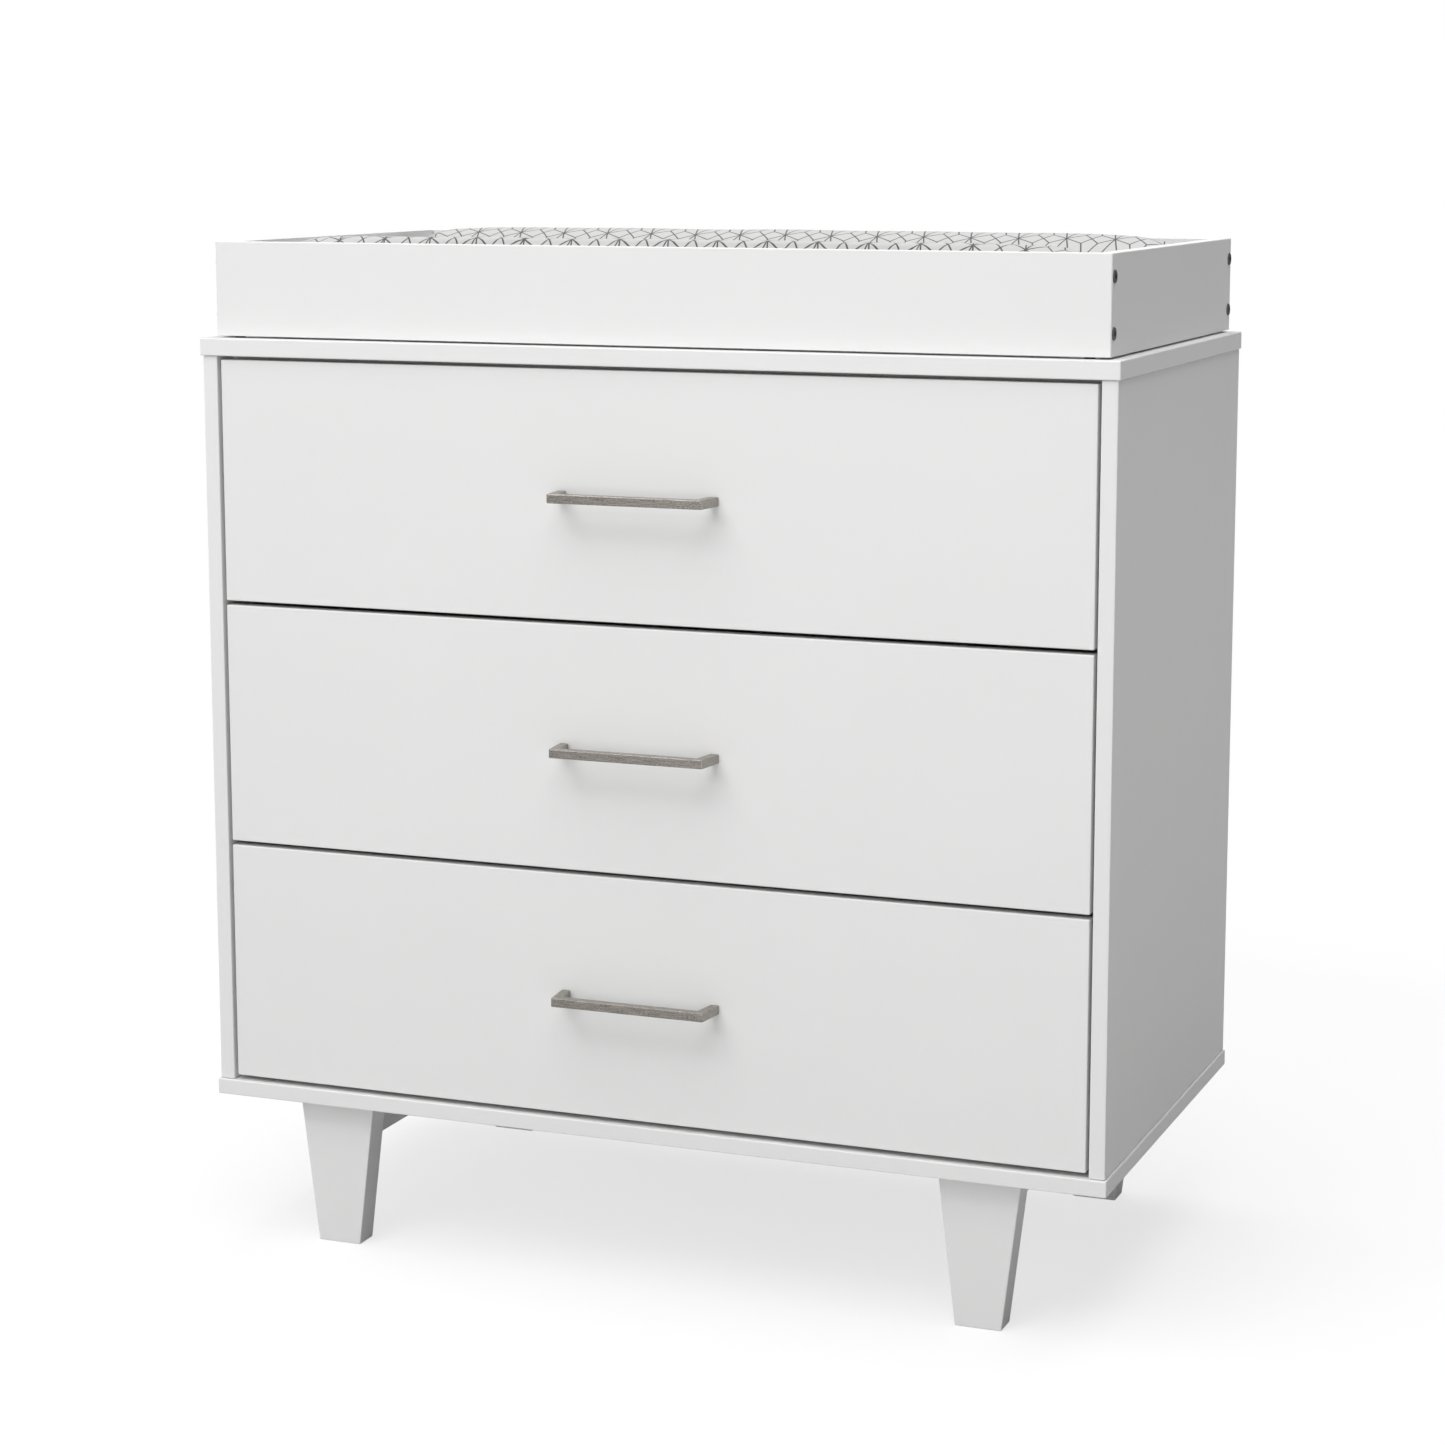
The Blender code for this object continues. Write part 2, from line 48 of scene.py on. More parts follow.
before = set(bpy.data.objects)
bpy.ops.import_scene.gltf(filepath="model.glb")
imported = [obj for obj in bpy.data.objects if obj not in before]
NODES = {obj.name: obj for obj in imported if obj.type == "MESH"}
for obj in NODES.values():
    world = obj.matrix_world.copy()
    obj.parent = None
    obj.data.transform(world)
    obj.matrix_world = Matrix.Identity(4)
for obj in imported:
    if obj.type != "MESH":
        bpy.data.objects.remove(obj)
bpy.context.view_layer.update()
DRAWERS = (1, 2, 3)
SIDES = {"left": -1, "right": 1}
SLOT_OF = {name: node.material_slots[0].material.name for name, node in NODES.items()}
SHARP_ANGLE = math.radians(35)
# Points round a screw's head, a nail's head and the floor, and rings from a screw's middle to its rim.
HEAD_STEPS, NAIL_STEPS, FLOOR_STEPS = 40, 16, 64
DOME_RINGS = 12

PAD_LOW, PAD_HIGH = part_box("changing_pad")
PAD_LENGTH, PAD_WIDTH, PAD_HEIGHT = PAD_HIGH - PAD_LOW
PAD_MIDDLE = (PAD_LOW.y + PAD_HIGH.y) / 2
# The step round the pad's section, and the rings along its length, round an end's edge and over the end.
OUTLINE_STEP = 0.006
BODY_RINGS, END_RINGS = 120, 5
# How far from an end and from a long side the cover starts to turn down, and over what width it does so.
TURN_AT_END, TURN_AT_SIDE, TURN_WIDTH = 0.014, 0.016, 0.010

# From a handle's end to its screw, and the thickness of a slide member's steel.
HANDLE_SCREW_IN = 0.0047
SLIDE_STEEL = 0.0012
SLIDE_SCREWS_ALONG = (0.09, 0.5, 0.91)
# The height of a screw's head and the depth of its recess, on the handles and on the slides. A slide's
# screws are smaller than a handle's by this share.
HANDLE_SCREW, SLIDE_SCREW = (0.0022, 0.0016), (0.0014, 0.0010)
SLIDE_SCREW_SHARE = 0.8

# From the panel's edge to its nails, and the size and number of these.
NAIL_MARGIN = 0.0075
NAIL_RADIUS, NAIL_HEIGHT = 0.0026, 0.0004
NAILS_ACROSS, NAILS_UP = 9, 8

# Each light of the studio: its width and height, where it stands and the point it looks at.
LIGHTS = {
    "key": ((3.1, 3.1), (-1.26, -4.1, 3.6), (0, -0.2, 0.5)),
    "front": ((3.0, 1.2), (0.6, -4.0, 0.65), (0, 0, 0.2)),
    "left": ((3.0, 3.0), (-3.6, 0, 2.2), (0, 0, 0.3)),
    "top": ((5.0, 3.6), (-0.28, -1.9, 4.75), (0, -0.1, 0.4)),
    "right": ((3.0, 3.0), (3.6, 0.4, 1.6), (0.45, 0, 0.5)),
    "rear": ((3.0, 2.0), (0.3, 0.9, 3.3), (0, 0, 0)),
}
# The rings of the floor, and the distances between which it fades into plain light.
FLOOR_RINGS = (0, 0.3, 0.8, 1.5, 3, 6, 12)
FLOOR_FADE = (0.72, 1.5)


# ---------------------------------------------------------------- shader maths


class Term:
    """A socket of a finish. An expression on it adds Math nodes."""

    def __init__(self, finish, socket):
        self.finish = finish
        self.socket = socket

    def math(self, operation, *values):
        return self.finish.node("ShaderNodeMath", {"operation": operation}, dict(enumerate(values)))

    def __add__(self, other):
        return self.math("ADD", self, other)

    def __radd__(self, other):
        return self.math("ADD", other, self)

    def __sub__(self, other):
        return self.math("SUBTRACT", self, other)

    def __rsub__(self, other):
        return self.math("SUBTRACT", other, self)

    def __mul__(self, other):
        return self.math("MULTIPLY", self, other)

    def __rmul__(self, other):
        return self.math("MULTIPLY", other, self)

    def __truediv__(self, other):
        return self.math("DIVIDE", self, other)

    def __rtruediv__(self, other):
        return self.math("DIVIDE", other, self)

    def fraction(self):
        return self.math("FRACT", self)

    def least(self, other):
        return self.math("MINIMUM", self, other)

    def most(self, other):
        return self.math("MAXIMUM", self, other)

    def sine(self):
        return self.math("SINE", self)

    def ramp(self, low, high):
        """0 up to low, 1 from high on, and a smooth rise between."""
        settings = {"interpolation_type": "SMOOTHSTEP"}
        inputs = {"Value": self, "From Min": low, "From Max": high}
        return self.finish.node("ShaderNodeMapRange", settings, inputs)


class Finish:
    """The nodes of one material, around its Principled shader."""

    def __init__(self, name, steady):
        self.material = bpy.data.materials.new(name)
        self.material.use_nodes = True
        self.tree = self.material.node_tree
        self.shader = self.tree.nodes["Principled BSDF"]
        self.fill(self.shader, steady)

    def fill(self, node, inputs):
        for key, value in inputs.items():
            socket = node.inputs[key]
            if isinstance(value, Term):
                self.tree.links.new(value.socket, socket)
            elif socket.type == "RGBA":
                socket.default_value = (*value, 1.0)
            else:
                socket.default_value = value

    def node(self, kind, settings=None, inputs=None, output=0):
        """A new node of that kind: its settings first, then the values or links of its sockets."""
        made = self.tree.nodes.new(kind)
        for name, value in (settings or {}).items():
            setattr(made, name, value)
        self.fill(made, inputs or {})
        return Term(self, made.outputs[output])

    def place(self, stretch=(1, 1, 1)):
        """The point on the piece, in metres, stretched along each axis."""
        point = self.node("ShaderNodeTexCoord", output="Object")
        return self.node("ShaderNodeMapping", None, {"Vector": point, "Scale": stretch})

    def noise(self, point, scale, detail=2.0, roughness=0.5):
        inputs = {"Vector": point, "Scale": scale, "Detail": detail, "Roughness": roughness}
        return self.node("ShaderNodeTexNoise", None, inputs)

    def vector(self, operation, *values, output=0):
        settings, inputs = {"operation": operation}, dict(enumerate(values))
        return self.node("ShaderNodeVectorMath", settings, inputs, output)

    def mix(self, factor, first, second):
        """From the first colour at factor 0 to the second at 1."""
        inputs = {0: factor, 6: first, 7: second}
        return self.node("ShaderNodeMix", {"data_type": "RGBA"}, inputs, 2)

    def relief(self, height, depth):
        """Bump from a height that runs from 0 to 1, in metres from lowest to highest."""
        return self.node("ShaderNodeBump", None, {"Height": height, "Distance": depth}, "Normal")

    def done(self, **varying):
        """Links what changes over the surface to the shader, and gives the material."""
        self.fill(self.shader, {key.replace("_", " "): value for key, value in varying.items()})
        return self.material


def tint(base, share):
    """The base colour made that much lighter, or darker where the share is negative."""
    return tuple(min(1.0, part * (1 + share)) for part in base)


def lacquer(settings):
    """Sprayed satin lacquer on board: fine orange peel, and a faint cloudiness in tone and gloss."""
    finish = Finish("satin_white_lacquer", {"IOR": 1.46, "Specular IOR Level": 0.45})
    point = finish.place()
    peel = finish.noise(point, 420.0, detail=3.0)
    cloud = finish.noise(point, 6.0)
    tone = finish.mix(cloud, tint(settings.colour, -0.012), tint(settings.colour, 0.012))
    gloss = settings.roughness + (peel - 0.5) * 0.10 + (cloud - 0.5) * 0.06
    relief = finish.relief(peel, settings.peel)
    return finish.done(Base_Color=tone, Roughness=gloss, Normal=relief)


def drawer_laminate(settings):
    """White foil on the boards of the drawer boxes and the rails, with a faint pressed grain along Y."""
    finish = Finish("drawer_white_foil", {"IOR": 1.46, "Specular IOR Level": 0.4})
    grain = finish.noise(finish.place((900, 14, 900)), 1.0, detail=4.0, roughness=0.6)
    cloud = finish.noise(finish.place(), 9.0)
    tone = finish.mix(grain, tint(settings.inside_colour, -0.03), tint(settings.inside_colour, 0.02))
    gloss = 0.5 + (grain - 0.5) * 0.16 + (cloud - 0.5) * 0.06
    relief = finish.relief(grain, 0.00006)
    return finish.done(Base_Color=tone, Roughness=gloss, Normal=relief)


def hardboard(settings):
    """Thin painted hardboard: short matted fibres show through the paint."""
    finish = Finish("painted_hardboard", {"IOR": 1.45, "Specular IOR Level": 0.3})
    fibres = finish.noise(finish.place((260, 700, 160)), 1.0, detail=5.0, roughness=0.7)
    specks = finish.noise(finish.place(), 1500.0, detail=1.0).ramp(0.68, 0.78)
    tone = finish.mix(fibres, tint(settings.inside_colour, -0.07), settings.inside_colour)
    tone = finish.mix(specks * 0.35, tone, tint(settings.inside_colour, -0.30))
    gloss = 0.58 + (fibres - 0.5) * 0.2
    relief = finish.relief(fibres, 0.00010)
    return finish.done(Base_Color=tone, Roughness=gloss, Normal=relief)


def brushed_nickel(settings):
    """Nickel brushed along the bar: long fine scratches over shorter broken ones."""
    finish = Finish("brushed_nickel", {"Metallic": 1.0})
    long_grain = finish.noise(finish.place((60, 2600, 2600)), 1.0, detail=4.0, roughness=0.65)
    short_grain = finish.noise(finish.place((420, 1500, 1500)), 1.0, detail=3.0, roughness=0.6)
    grain = long_grain * 0.55 + short_grain * 0.45
    streak = grain.ramp(0.40, 0.60)
    tone = finish.mix(streak, tint(settings.nickel_colour, -0.42), tint(settings.nickel_colour, 0.38))
    gloss = settings.nickel_roughness + (grain - 0.5) * 0.30
    relief = finish.relief(grain, 0.00004)
    return finish.done(Base_Color=tone, Roughness=gloss, Normal=relief)


def zinc(name, settings):
    """Bright zinc on pressed steel: faint rolling lines along Y and soft patches."""
    finish = Finish(name, {"Metallic": 1.0})
    lines = finish.noise(finish.place((1800, 20, 1800)), 1.0, detail=3.0, roughness=0.6)
    patches = finish.noise(finish.place(), 130.0, detail=3.0, roughness=0.6)
    tone = finish.mix(patches, tint(settings.slide_colour, -0.14), tint(settings.slide_colour, 0.10))
    gloss = settings.slide_roughness + (lines - 0.5) * 0.22 + (patches - 0.5) * 0.12
    relief = finish.relief(lines, 0.00002)
    return finish.done(Base_Color=tone, Roughness=gloss, Normal=relief)


def dark_steel(settings):
    """Blackened steel of the bolts: a fine grain with paler worn spots."""
    finish = Finish("blackened_steel", {"Metallic": 0.85})
    grain = finish.noise(finish.place(), 2400.0, detail=3.0)
    worn = finish.noise(finish.place(), 700.0).ramp(0.56, 0.72)
    tone = finish.mix(worn, settings.bolt_colour, tint(settings.bolt_colour, 1.2))
    gloss = 0.42 + (grain - 0.5) * 0.25 - worn * 0.08
    relief = finish.relief(grain, 0.00003)
    return finish.done(Base_Color=tone, Roughness=gloss, Normal=relief)


def rubber(settings):
    """Dark soft rubber with a fine moulded grain."""
    finish = Finish("dark_rubber", {"Specular IOR Level": 0.35})
    grain = finish.noise(finish.place(), 1700.0, detail=3.0)
    tone = finish.mix(grain, tint(settings.rubber_colour, -0.25), tint(settings.rubber_colour, 0.35))
    gloss = 0.72 + (grain - 0.5) * 0.2
    relief = finish.relief(grain, 0.00005)
    return finish.done(Base_Color=tone, Roughness=gloss, Normal=relief)


# The cover's print, in one repeat: stars on a lattice of equal triangles, each joined to four corners on
# its own row and four on the next rows, and the corners joined in pairs across the row line. A repeat is
# one star space wide; its rows stand LATTICE_RISE apart, half a repeat over.
LATTICE_RISE = math.sqrt(3) / 2
NEAR_LEFT, NEAR_RIGHT = (0.35, 0.22), (0.68, 0.22)
FAR_LEFT, FAR_RIGHT = (0.85, LATTICE_RISE - 0.24), (1.19, LATTICE_RISE - 0.23)
STARS = ((0.0, 0.0), (1.0, 0.0), (0.5, LATTICE_RISE), (1.5, LATTICE_RISE))
CROSSINGS = ((0.52, 0.0), (1.02, LATTICE_RISE))
PRINT_LINES = (
    (STARS[0], NEAR_LEFT),
    (STARS[1], NEAR_RIGHT),
    (STARS[2], FAR_LEFT),
    (STARS[3], FAR_RIGHT),
    (STARS[2], NEAR_LEFT),
    (STARS[2], NEAR_RIGHT),
    (STARS[1], FAR_LEFT),
    (STARS[1], FAR_RIGHT),
    (NEAR_LEFT, CROSSINGS[0]),
    (CROSSINGS[0], NEAR_RIGHT),
    (FAR_LEFT, CROSSINGS[1]),
    (CROSSINGS[1], FAR_RIGHT),
)


def line_distance(finish, point, start, end):
    """How far a point lies from the straight line between two ends. The point's share of the way along
    the line, held between 0 and 1, gives the nearest place on it."""
    run = Vector((*end, 0)) - Vector((*start, 0))
    away = finish.vector("SUBTRACT", point, (*start, 0))
    share = finish.vector("DOT_PRODUCT", away, run / run.length_squared, output="Value")
    share = share.most(0.0).least(1.0)
    shares = finish.node("ShaderNodeCombineXYZ", None, dict.fromkeys("XYZ", share))
    nearest = finish.vector("MULTIPLY", run, shares)
    return finish.vector("DISTANCE", away, nearest, output="Value")


def print_lines(finish, point, lines, half_width, softness):
    """1 on the lines and 0 off them."""
    nearest = None
    for start, end in lines:
        away = line_distance(finish, point, start, end)
        nearest = away if nearest is None else nearest.least(away)
    return 1 - nearest.ramp(half_width - softness, half_width + softness)


def printed_cotton(settings):
    """Woven cotton with a line print. The cover attribute holds the cloth's own flat coordinates: along
    the pad, and across it over the contour."""
    steady = {"Specular IOR Level": 0.25, "Sheen Weight": 0.25, "Sheen Roughness": 0.5}
    finish = Finish("printed_cotton", steady)
    cloth = finish.node("ShaderNodeAttribute", {"attribute_name": "cover"}, output="Vector")
    along = finish.node("ShaderNodeSeparateXYZ", None, {"Vector": cloth}, "X")
    across = finish.node("ShaderNodeSeparateXYZ", None, {"Vector": cloth}, "Y")
    row = (across - settings.print_shift) / settings.row_space
    column = (along - settings.print_start) / settings.star_space - row * 0.5
    row, column = row.fraction(), column.fraction()
    inputs = {"X": column + row * 0.5, "Y": row * LATTICE_RISE, "Z": 0.0}
    point = finish.node("ShaderNodeCombineXYZ", None, inputs)
    half = settings.line_width / settings.star_space / 2
    ink = print_lines(finish, point, PRINT_LINES, half, half * 0.4)
    warp = (along * (math.tau / settings.thread)).sine()
    weft = (across * (math.tau / settings.thread)).sine()
    weave = warp * weft * 0.5 + 0.5
    slub = finish.noise(finish.place(), 900.0, detail=4.0, roughness=0.65)
    ground = finish.mix(slub, tint(settings.ground_colour, -0.09), tint(settings.ground_colour, 0.06))
    threads = finish.mix(weave * 0.10, ground, tint(settings.ground_colour, -0.5))
    ink = (ink * (0.80 + slub * 0.22)).least(0.94)
    tone = finish.mix(ink, threads, settings.line_colour)
    gloss = 0.86 + slub * 0.1
    relief = finish.relief(weave * 0.6 + slub * 0.4, 0.00012)
    return finish.done(Base_Color=tone, Roughness=gloss, Normal=relief)


# ---------------------------------------------------------------- surfaces


def tube_faces(rings, around):
    """Quads between rings of points, with that many points around each ring."""
    ring, at = np.meshgrid(np.arange(rings - 1), np.arange(around), indexing="ij")
    after = (at + 1) % around
    corners = [ring * around + at, ring * around + after]
    corners += [(ring + 1) * around + after, (ring + 1) * around + at]
    return np.stack(corners, -1).reshape(-1, 4)


def piece(name, parts, material, body=None):
    """One object from several tubes of (points, faces), with its poles closed and its faces outwards.
    With a body it rides on it."""
    points, faces, start = [], [], 0
    for some_points, some_faces in parts:
        points.append(some_points.reshape(-1, 3))
        faces.append(some_faces + start)
        start += len(points[-1])
    mesh = bpy.data.meshes.new(name)
    mesh.from_pydata(np.concatenate(points).tolist(), [], np.concatenate(faces).tolist())
    shape = bmesh.new()
    shape.from_mesh(mesh)
    bmesh.ops.remove_doubles(shape, verts=shape.verts, dist=1e-6)
    bmesh.ops.recalc_face_normals(shape, faces=shape.faces)
    shape.to_mesh(mesh)
    shape.free()
    mesh.shade_smooth()
    mesh.set_sharp_from_angle(angle=SHARP_ANGLE)
    mesh.materials.append(material)
    obj = bpy.data.objects.new(name, mesh)
    bpy.context.scene.collection.objects.link(obj)
    if body:
        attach(obj, body)
    return obj


def screw_head(centre, outwards, radius, height, recess):
    """A pan head with a cross recess. Over a disc of radius R the height is H (1 - 0.5 (r/R)^4), less
    the recess where the point lies in a cross about the middle; then the rim drops to the board and the
    underside runs back to the axis. The arms of the cross end at 0.58 R, and reach 0.16 R to each side
    with sloping walls. outwards is the axis, +1 or -1 along X or Y."""
    around = np.linspace(0, math.tau, HEAD_STEPS, endpoint=False)
    dome = np.linspace(0, 1, DOME_RINGS)
    reach = np.concatenate([dome, [1, 1, 0]])
    rise = np.concatenate([1 - 0.5 * dome**4, [0.25, 0, 0]])
    r, turn = np.meshgrid(reach, around, indexing="ij")
    level = np.repeat(rise[:, None], len(around), 1) * height
    side, up = r * np.cos(turn), r * np.sin(turn)
    arm = np.clip(1.6 - np.minimum(abs(side), abs(up)) / 0.10, 0, 1)
    arm = arm * np.clip((0.58 - r) / 0.08, 0, 1) * (np.arange(len(reach)) < len(dome))[:, None]
    level = level - arm * recess
    sideways = np.array((abs(outwards[1]), abs(outwards[0]), 0))
    upwards = np.array((0, 0, 1))
    points = np.array(centre) + level[..., None] * np.array(outwards)
    points = points + radius * (side[..., None] * sideways + up[..., None] * upwards)
    return points, tube_faces(len(reach), len(around))


def nail_head(centre, radius, height):
    """A flat round head that faces +Y: a disc whose rim is rounded by a quarter of an ellipse."""
    around = np.linspace(0, math.tau, NAIL_STEPS, endpoint=False)
    quarter = np.linspace(0, math.pi / 2, 4)
    reach = np.concatenate([[0], 0.75 + 0.25 * np.sin(quarter), [0]])
    rise = np.concatenate([[1], np.cos(quarter), [0]])
    r, turn = np.meshgrid(reach, around, indexing="ij")
    level = np.repeat(rise[:, None], len(around), 1) * height
    points = np.stack([radius * r * np.cos(turn), level, radius * r * np.sin(turn)], -1)
    return points + np.array(centre), tube_faces(len(reach), len(around))


# ---------------------------------------------------------------- pad


def contour(across, pad):
    """The pad's thickness at a distance from its middle line: level along the middle, then a rise like
    half a cosine wave to the crest, then a quarter ellipse down to the long side."""
    across = abs(across)
    half = PAD_WIDTH / 2
    crest = half - pad.crest
    part = np.clip((across - pad.level) / (crest - pad.level), 0, 1)
    rise = pad.valley + (PAD_HEIGHT - pad.valley) * (1 - np.cos(math.pi * part)) / 2
    over = np.clip((across - crest) / pad.crest, 0, 1)
    return rise - pad.corner * (1 - np.sqrt(1 - over**2))


def pad_outline(pad):
    """The pad's closed section (y, z) at an even step: over the contour, down a side and back below."""
    half = PAD_WIDTH / 2
    across = half * np.sin(np.linspace(-math.pi / 2, math.pi / 2, 400))
    top = np.stack([across, contour(across, pad)], -1)
    loop = np.concatenate([top, [(half, 0), (-half, 0), top[0]]])
    run = np.concatenate([[0], np.cumsum(np.linalg.norm(np.diff(loop, axis=0), axis=1))])
    count = int(run[-1] / OUTLINE_STEP)
    at = np.linspace(0, run[-1], count, endpoint=False)
    return np.stack([np.interp(at, run, loop[:, 0]), np.interp(at, run, loop[:, 1])], -1)


def pad_surface(pad):
    """The section carried along X. Towards each end it draws in round a quarter circle, and then closes
    over the end towards its own middle height, so the end is a flat face with rounded edges. Two slow
    waves run along the upper half."""
    y, z = pad_outline(pad).T
    middle = contour(y, pad) / 2
    turn = np.linspace(0, math.pi / 2, END_RINGS + 1)[1:]
    from_end = PAD_LENGTH / 2 - pad.inset
    round_x = from_end - pad.end_radius * (1 - np.sin(turn))
    round_in = pad.end_radius * (1 - np.cos(turn))
    straight = from_end - pad.end_radius
    body_x = np.linspace(-straight, straight, BODY_RINGS)
    flat = np.linspace(0, 1, END_RINGS + 1)[1:]
    zeros, ones = np.zeros(len(flat)), np.ones(len(flat))
    x = np.concatenate([-from_end * ones, -round_x[::-1], body_x, round_x, from_end * ones])
    drawn = [pad.end_radius * ones, round_in[::-1], 0 * body_x, round_in, pad.end_radius * ones]
    drawn = np.concatenate(drawn)[:, None] + pad.inset
    closing = np.concatenate([flat[::-1], zeros, 0 * body_x, zeros, flat])[:, None]
    scale = (1 - np.minimum(drawn / middle, 0.95)) * (1 - closing)
    wide = y * (1 - drawn / (PAD_WIDTH / 2))
    high = middle + (z - middle) * scale
    at = x[:, None]
    wave = 0.6 * np.sin(23 * at + 0.7) + np.sin(41 * at + 2.1 + 6 * np.sign(y))
    high = high + pad.wave * wave * np.clip((z - middle) / middle, 0, 1)
    points = np.stack([np.repeat(at, len(y), 1), wide, high], -1)
    points = points + np.array((0, PAD_MIDDLE, PAD_LOW.z))
    return points, tube_faces(len(x), len(y))


def apply_modifiers(obj):
    """Makes the object's modifiers part of its mesh."""
    graph = bpy.context.evaluated_depsgraph_get()
    mesh = bpy.data.meshes.new_from_object(obj.evaluated_get(graph), depsgraph=graph)
    obj.modifiers.clear()
    obj.data = mesh


def places(obj):
    """The object's points, one row each."""
    co = np.empty(len(obj.data.vertices) * 3, np.float32)
    obj.data.vertices.foreach_get("co", co)
    return co.reshape(-1, 3).astype(float)


def set_places(obj, co):
    obj.data.vertices.foreach_set("co", co.astype(np.float32).ravel())
    obj.data.update()


def swell(obj, pad):
    """Fills the cover by cloth simulation under pressure, and holds each point near its start."""
    before = places(obj)
    cloth = obj.modifiers.new("filling", "CLOTH")
    cloth.settings.quality = 4
    cloth.settings.mass = 0.15
    cloth.settings.tension_stiffness = cloth.settings.compression_stiffness = 12.0
    cloth.settings.bending_stiffness = 0.4
    cloth.settings.use_pressure = True
    cloth.settings.uniform_pressure_force = pad.pressure
    cloth.settings.effector_weights.gravity = 0.0
    cloth.collision_settings.use_collision = False
    for step in range(1, pad.frames + 1):
        bpy.context.scene.frame_set(step)
    apply_modifiers(obj)
    bpy.context.scene.frame_set(1)
    moved = places(obj) - before
    travel = np.maximum(np.linalg.norm(moved, axis=1, keepdims=True), 1e-9)
    set_places(obj, before + moved * np.minimum(1, pad.swell_cap / travel))


def lay_cover(obj, pad):
    """The cloth's flat coordinates at each point: X along the pad, and the way over the contour across
    it. Below an edge they run on down the end or down the side."""
    co = places(obj)
    x, y, z = co[:, 0], co[:, 1] - PAD_MIDDLE, co[:, 2] - PAD_LOW.z
    line = np.linspace(0, PAD_WIDTH / 2, 600)
    rise = contour(line, pad)
    way = np.concatenate([[0], np.cumsum(np.hypot(np.diff(line), np.diff(rise)))])
    below = np.maximum(contour(np.minimum(abs(y), PAD_WIDTH / 2), pad) - pad.inset - z, 0)
    at_end = np.clip((abs(x) - PAD_LENGTH / 2 + TURN_AT_END) / TURN_WIDTH, 0, 1)
    at_side = np.clip((abs(y) - PAD_WIDTH / 2 + TURN_AT_SIDE) / TURN_WIDTH, 0, 1) * (1 - at_end)
    along = x + np.sign(x) * below * at_end
    across = np.sign(y) * (np.interp(abs(y), line, way) + below * at_side)
    cover = obj.data.attributes.new("cover", "FLOAT_VECTOR", "POINT")
    flat = np.stack([along, across, np.zeros(len(x))], -1)
    cover.data.foreach_set("vector", flat.astype(np.float32).ravel())


def make_pad(pad, material):
    """The cover: an even mesh over the contour, swollen by its filling, flat below where it lies."""
    cover = piece("changing_pad_cover", [pad_surface(pad)], material)
    remesh = cover.modifiers.new("even_mesh", "REMESH")
    remesh.mode = "VOXEL"
    remesh.voxel_size = pad.voxel
    apply_modifiers(cover)
    swell(cover, pad)
    co = places(cover)
    co[:, 2] = np.maximum(co[:, 2], PAD_LOW.z)
    set_places(cover, co)
    smooth = cover.modifiers.new("smooth", "SUBSURF")
    smooth.levels = smooth.render_levels = 1
    apply_modifiers(cover)
    cover.data.shade_smooth()
    lay_cover(cover, pad)
    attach(cover, "pad")
    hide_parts("changing_pad")


# ---------------------------------------------------------------- settings


def scalar(name, description, default, **limits):
    return bpy.props.FloatProperty(name=name, description=description, default=default, **limits)


def length(name, description, default, low, high):
    return scalar(name, description, default, min=low, max=high, unit="LENGTH", precision=5)


def factor(name, description, default):
    return scalar(name, description, default, min=0.0, max=1.0, subtype="FACTOR")


def strength(name, description, default):
    return scalar(name, description, default, min=0.0)


def angle(name, description, default):
    return scalar(name, description, default, subtype="ANGLE")


def numbers(name, description, default, **limits):
    return bpy.props.FloatVectorProperty(
        name=name, description=description, default=default, size=len(default), **limits
    )


def colour(name, description, default):
    return numbers(name, description, default, min=0.0, max=1.0, subtype="COLOR")


class BoardSettings(bpy.types.PropertyGroup):
    """Finish of the painted boards and of the drawer boxes."""

    colour: colour("Lacquer colour", "Colour of the painted boards", (0.80, 0.80, 0.797))
    roughness: factor("Lacquer roughness", "Roughness of the painted boards", 0.46)
    peel: length("Orange peel", "Depth of the fine ripple of the sprayed paint", 0.00003, 0.0, 0.001)
    inside_colour: colour("Inside colour", "Colour of the drawer boxes", (0.80, 0.80, 0.79))


class MetalSettings(bpy.types.PropertyGroup):
    """Finishes of the handles, slides, bolts, screws and glides."""

    nickel_colour: colour("Nickel colour", "Colour of the handles", (0.36, 0.335, 0.305))
    nickel_roughness: factor("Nickel roughness", "Roughness of the handles", 0.38)
    slide_colour: colour("Slide colour", "Colour of the ball slides", (0.60, 0.61, 0.62))
    slide_roughness: factor("Slide roughness", "Roughness of the ball slides", 0.36)
    bolt_colour: colour("Bolt colour", "Colour of the tray bolts", (0.14, 0.14, 0.145))
    rubber_colour: colour("Rubber colour", "Colour of the tray glides", (0.05, 0.05, 0.05))
    screw_radius: length("Screw head", "Radius of a screw head in a drawer", 0.0040, 0.001, 0.01)


